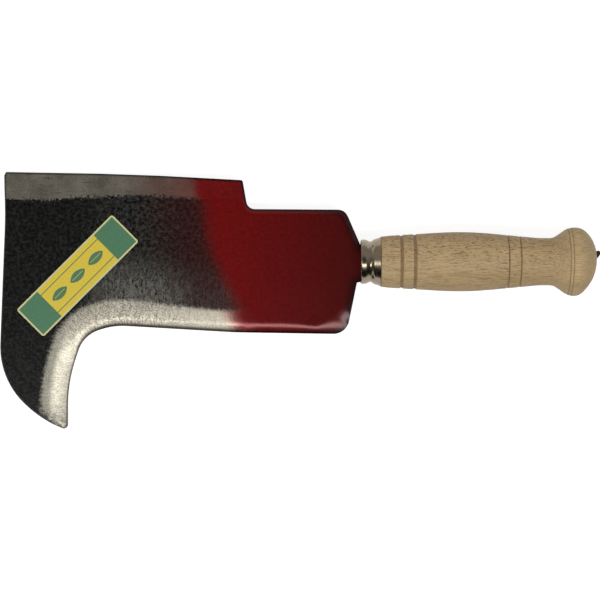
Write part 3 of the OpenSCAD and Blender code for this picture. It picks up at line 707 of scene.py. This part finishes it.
    # only the ground bevels are bare metal; it gleams through the paint a little, so the shine is red too
    metal = addNode(tree, "ShaderNodeMath", {0: onHook, 1: onBack}, operation="MAXIMUM")
    bare = addNode(tree, "ShaderNodeMath", {0: 1, 1: painted}, operation="SUBTRACT")
    metal = addNode(tree, "ShaderNodeMath", {0: metal, 1: bare}, operation="MULTIPLY")
    gleam = addNode(tree, "ShaderNodeMath", {0: painted, 1: paint["gleam"], 2: metal}, operation="MULTIPLY_ADD")
    least, most = steel["skinRough"]
    rough = addNode(tree, "ShaderNodeMapRange", {"Value": grit, "To Min": least, "To Max": most})
    rough = addNode(tree, "ShaderNodeMix", {0: metal, 2: rough, 3: steel["groundRough"]})
    rough = addNode(tree, "ShaderNodeMix", {0: painted, 2: rough, 3: paint["rough"]})
    # relief: grit in the skin and scratches on the hook bevel, both softened under the paint
    relief = addNode(tree, "ShaderNodeMix", {0: onHook, 2: grit, 3: brushed})
    softened = addNode(tree, "ShaderNodeMapRange", {"Value": painted, "To Min": 0.5, "To Max": 0.12})
    bump = addNode(tree, "ShaderNodeBump", {
        "Height": relief, "Strength": softened, "Distance": steel["relief"] * mm})
    shader = addNode(tree, "ShaderNodeBsdfPrincipled", {
        "Base Color": colour, "Metallic": gleam, "Roughness": rough,
        "Specular IOR Level": steel["specular"], "Normal": bump})
    addNode(tree, "ShaderNodeOutputMaterial", {"Surface": shader}, None)
    return material


def tangIron():
    # the same steel, drawn to a taper and hammered over hot: near black with rusty flecks
    iron = {"fleckSize": 0.8, "relief": 0.1, "black": "#0f0e0e", "rust": "#3a312c", "rough": 0.6, "specular": 0.25}
    material, tree = newMaterial("blackTangSteel")
    place = addNode(tree, "ShaderNodeTexCoord", out="Object")
    fleck = addNode(tree, "ShaderNodeTexNoise", {
        "Vector": place, "Scale": 1 / (iron["fleckSize"] * mm), "Detail": 4})
    colour = addNode(tree, "ShaderNodeMix", {
        0: fleck, 6: linear(iron["black"]), 7: linear(iron["rust"])}, **colours)
    bump = addNode(tree, "ShaderNodeBump", {"Height": fleck, "Strength": 0.6, "Distance": iron["relief"] * mm})
    shader = addNode(tree, "ShaderNodeBsdfPrincipled", {
        "Base Color": colour, "Roughness": iron["rough"], "Specular IOR Level": iron["specular"], "Normal": bump})
    addNode(tree, "ShaderNodeOutputMaterial", {"Surface": shader}, None)
    return material


def nickelPlate():
    # bright nickel on drawn steel: mirror gloss, faint rings from the spinning, dulled in patches
    nickel = {
        "ringWide": 0.35, "ringLong": 30, "patchSize": 4, "relief": 0.05,
        "dull": "#807563", "clean": "#9a8d79", "rough": (0.17, 0.27),
    }
    material, tree = newMaterial("brightNickelPlate")
    place = addNode(tree, "ShaderNodeTexCoord", out="Object")
    ringWide, ringLong = 1 / (nickel["ringWide"] * mm), 1 / (nickel["ringLong"] * mm)
    ringed = addNode(tree, "ShaderNodeMapping", {"Vector": place, "Scale": (ringWide, ringLong, ringLong)})
    ringed = addNode(tree, "ShaderNodeTexNoise", {"Vector": ringed, "Scale": 1, "Detail": 2})
    patch = addNode(tree, "ShaderNodeTexNoise", {
        "Vector": place, "Scale": 1 / (nickel["patchSize"] * mm), "Detail": 3})
    colour = addNode(tree, "ShaderNodeMix", {
        0: patch, 6: linear(nickel["dull"]), 7: linear(nickel["clean"])}, **colours)
    least, most = nickel["rough"]
    rough = addNode(tree, "ShaderNodeMapRange", {
        "Value": patch, "From Min": 0.3, "From Max": 0.8, "To Min": least, "To Max": most})
    bump = addNode(tree, "ShaderNodeBump", {
        "Height": ringed, "Strength": 0.15, "Distance": nickel["relief"] * mm})
    shader = addNode(tree, "ShaderNodeBsdfPrincipled", {
        "Base Color": colour, "Metallic": 1.0, "Roughness": rough, "Normal": bump})
    addNode(tree, "ShaderNodeOutputMaterial", {"Surface": shader}, None)
    return material


def turnedBeech():
    # beech turned along the grain, thinly varnished: pale tan, short dark ray flecks, scorched rings
    beech = {
        # patterns as sizes in mm along the handle and both ways across it: growth rings some 5 mm apart,
        # pores as threads along the grain and ray flecks as dashes, both coarser than real so that they show
        "growth": (90, 5, 9), "pores": (14, 0.5, 0.5), "flecks": (2.4, 0.5, 0.8), "relief": 0.08,
        "summer": "#a98d62", "spring": "#dfc292", "pore": "#866a49", "fleck": "#7b5f42",
        # the paler knob colour on the next line is a painted light
        "scorched": "#6a4422", "scorch": 0.64, "knobLight": "#e6c998", "rough": (0.5, 0.68),
    }
    material, tree = newMaterial("turnedBeech")
    place = addNode(tree, "ShaderNodeTexCoord", out="Object")
    pattern = {}
    for key, detail, roughness in (("growth", 3, 0.6), ("pores", 2, 0.5), ("flecks", 1, 0.5)):
        drawnOut = addNode(tree, "ShaderNodeMapping", {
            "Vector": place, "Scale": tuple(1 / (size * mm) for size in beech[key])})
        pattern[key] = addNode(tree, "ShaderNodeTexNoise", {
            "Vector": drawnOut, "Scale": 1, "Detail": detail, "Roughness": roughness})
    along, quarter = addNode(tree, "ShaderNodeSeparateXYZ", {0: place}, None)[:2]
    thread = addNode(tree, "ShaderNodeMapRange", {
        "Value": pattern["pores"], "From Min": 0.52, "From Max": 0.7, "To Max": 0.8})
    # the flecks show on the quarter that faces the back edge and thin out below
    quarter = addNode(tree, "ShaderNodeMapRange", {
        "Value": quarter, "From Min": -9 * mm, "From Max": 5 * mm, "To Min": 0.3, "To Max": 0.95})
    dash = addNode(tree, "ShaderNodeMapRange", {"Value": pattern["flecks"], "From Min": 0.55, "From Max": 0.68})
    dash = addNode(tree, "ShaderNodeMath", {0: dash, 1: quarter}, operation="MULTIPLY")
    burn = addNode(tree, "ShaderNodeAttribute", out="Fac", attribute_name="scorch")
    burn = addNode(tree, "ShaderNodeMath", {0: burn, 1: beech["scorch"]}, operation="MULTIPLY")
    # the knob is painted paler, a painted light over the shade on its flare
    knobLit = addNode(tree, "ShaderNodeMapRange", {
        "Value": along, "From Min": 121 * mm, "From Max": 136 * mm, "To Max": 0.2})
    colour = linear(beech["summer"])
    for share, key in (
            (pattern["growth"], "spring"), (thread, "pore"), (dash, "fleck"), (burn, "scorched"),
            (knobLit, "knobLight")):
        colour = addNode(tree, "ShaderNodeMix", {0: share, 6: colour, 7: linear(beech[key])}, **colours)
    least, most = beech["rough"]
    rough = addNode(tree, "ShaderNodeMapRange", {"Value": pattern["growth"], "To Min": least, "To Max": most})
    grain = addNode(tree, "ShaderNodeMath", {0: pattern["pores"], 1: pattern["flecks"]}, operation="ADD")
    bump = addNode(tree, "ShaderNodeBump", {
        "Height": grain, "Strength": 0.25, "Distance": -beech["relief"] * mm})
    shader = addNode(tree, "ShaderNodeBsdfPrincipled", {"Base Color": colour, "Roughness": rough, "Normal": bump})
    addNode(tree, "ShaderNodeOutputMaterial", {"Surface": shader}, None)
    return material


def printedPaper():
    # coated paper printed in two inks: flat yellow and green with a pale border, slightly satin
    ink = {
        "mottleSize": 1.1, "relief": 0.05, "edge": 0.06, "rough": 0.5,
        "yellow": ("#dcc02a", "#f3da49"), "green": ("#386a49", "#579068"), "border": "#dcd79c",
    }
    material, tree = newMaterial("printedLabelPaper")
    place = addNode(tree, "ShaderNodeTexCoord", out="Object")
    mottle = addNode(tree, "ShaderNodeTexNoise", {
        "Vector": place, "Scale": 1 / (ink["mottleSize"] * mm), "Detail": 3})
    shape = {}
    for key in printed:
        edge = addNode(tree, "ShaderNodeAttribute", out="Fac", attribute_name=key)
        shape[key] = addNode(tree, "ShaderNodeMapRange", {
            "Value": edge, "From Min": ink["edge"], "From Max": -ink["edge"]})
    yellow, green = (
        addNode(tree, "ShaderNodeMix", {0: mottle, 6: linear(dark), 7: linear(pale)}, **colours)
        for dark, pale in (ink["yellow"], ink["green"]))
    field = yellow
    for key, over in (("leaves", green), ("rib", yellow), ("band", green)):
        field = addNode(tree, "ShaderNodeMix", {0: shape[key], 6: field, 7: over}, **colours)
    colour = addNode(tree, "ShaderNodeMix", {0: shape["border"], 6: linear(ink["border"]), 7: field}, **colours)
    bump = addNode(tree, "ShaderNodeBump", {"Height": mottle, "Strength": 0.1, "Distance": ink["relief"] * mm})
    shader = addNode(tree, "ShaderNodeBsdfPrincipled", {
        "Base Color": colour, "Roughness": ink["rough"], "Normal": bump})
    addNode(tree, "ShaderNodeOutputMaterial", {"Surface": shader}, None)
    return material


for piece, material in (
        (bladePiece, forgedSteel()), (tangPiece, tangIron()), (ferrulePiece, nickelPlate()),
        (handlePiece, turnedBeech()), (labelPiece, printedPaper())):
    piece.data.materials.append(material)
print("materials done")

# floor: the billhook lies on its nose and its belly, so the floor leans to touch both
floor = {"size": 2.4, "noseX": -226.5, "bellyFrom": 20, "gap": 0.02, "glow": 0.86, "grey": 0.4}
noseZ = -plateHalf(floor["noseX"])
belly = woodSide[woodSide[:, 0] > floor["bellyFrom"]]
floorLean = ((belly[:, 1] + noseZ) / (belly[:, 0] - floor["noseX"])).max()
floorEdge = np.array([-1.0, 1.0]) * floor["size"] / 2
floorX, floorY = np.meshgrid(floorEdge, floorEdge)
floorZ = noseZ * mm - (floorX - floor["noseX"] * mm) * floorLean - floor["gap"] * mm
floorMesh = bpy.data.meshes.new("floorSheet")
floorMesh.from_pydata(np.stack([floorX, floorY, floorZ], -1).reshape(-1, 3).tolist(), [], [(0, 1, 3, 2)])
floorPiece = bpy.data.objects.new("floorSheet", floorMesh)
bpy.context.scene.collection.objects.link(floorPiece)
# white paper sweep: the eye, mirrors and glass see it white, the object still shades it
material, tree = newMaterial("whitePaperSweep")
seen = addNode(tree, "ShaderNodeLightPath", out=None)
white = seen["Is Camera Ray"]
for kind in ("Is Glossy Ray", "Is Transmission Ray"):
    white = addNode(tree, "ShaderNodeMath", {0: white, 1: seen[kind]}, operation="MAXIMUM")
white = addNode(tree, "ShaderNodeMath", {0: white, 1: floor["glow"]}, operation="MULTIPLY")
paper = addNode(tree, "ShaderNodeBsdfDiffuse", {"Color": (floor["grey"], floor["grey"], floor["grey"], 1)})
glow = addNode(tree, "ShaderNodeEmission", {"Color": (1, 1, 1, 1), "Strength": white})
paper = addNode(tree, "ShaderNodeAddShader", {0: paper, 1: glow})
addNode(tree, "ShaderNodeOutputMaterial", {"Surface": paper}, None)
floorMesh.materials.append(material)

# light: one long softbox over the near right side and a small fill at the left, in watts and metres
lamps = {
    "softbox": {"power": 12.5, "size": (1.7, 0.28), "at": (0.14, -0.53, 1.4)},
    "fillBox": {"power": 4, "size": (0.5, 0.5), "at": (-1.2, -0.25, 1.3)},
}
lampAim = Vector((0.14, -0.02, 0))
for name, light in lamps.items():
    lamp = bpy.data.lights.new(name, "AREA")
    lamp.shape, lamp.size, lamp.size_y, lamp.energy = "RECTANGLE", *light["size"], light["power"]
    lampPiece = bpy.data.objects.new(name, lamp)
    lampPiece.location = light["at"]
    lampPiece.rotation_euler = (lampAim - Vector(light["at"])).to_track_quat("-Z", "Y").to_euler()
    bpy.context.scene.collection.objects.link(lampPiece)

# room: dim walls, paler behind the tool and dark overhead; the camera itself sees white
room = {"front": 0.02, "behind": 0.5, "overhead": 0.12, "wall": "#fffdfa", "seen": "#ffffff"}
world = bpy.data.worlds.new("room")
bpy.context.scene.world = world
world.use_nodes = True
tree = world.node_tree
tree.nodes.clear()
sky = addNode(tree, "ShaderNodeTexCoord", out="Generated")
skyY, skyZ = addNode(tree, "ShaderNodeSeparateXYZ", {0: sky}, None)[1:]
walls = addNode(tree, "ShaderNodeMapRange", {
    "Value": skyY, "From Min": -0.5, "From Max": 0.4, "To Min": room["front"], "To Max": room["behind"]})
ceiling = addNode(tree, "ShaderNodeMapRange", {
    "Value": skyZ, "From Min": 0.97, "From Max": 0.8, "To Min": room["overhead"]}, **smooth)
level = addNode(tree, "ShaderNodeMath", {0: walls, 1: ceiling}, operation="MULTIPLY")
seen = addNode(tree, "ShaderNodeLightPath", out="Is Camera Ray")
level = addNode(tree, "ShaderNodeMath", {0: level, 1: seen}, operation="MAXIMUM")
tint = addNode(tree, "ShaderNodeMix", {0: seen, 6: linear(room["wall"]), 7: linear(room["seen"])}, **colours)
backdrop = addNode(tree, "ShaderNodeBackground", {"Color": tint, "Strength": level})
addNode(tree, "ShaderNodeOutputWorld", {"Surface": backdrop}, None)

# camera: straight above, 0.635 mm of the object to a pixel of a 600 pixel frame
camera = {"away": 1.2, "span": 0.381, "sensor": 36, "x": -38.35, "y": -24.3}
lens = bpy.data.cameras.new("above")
lens.sensor_width = camera["sensor"]
lens.lens = camera["sensor"] * camera["away"] / camera["span"]
view = bpy.data.objects.new("above", lens)
view.location = (camera["x"] * mm, camera["y"] * mm, camera["away"])
bpy.context.scene.collection.objects.link(view)
bpy.context.scene.camera = view
bpy.context.scene.view_settings.view_transform = "Standard"
print("floor, lights and camera done")
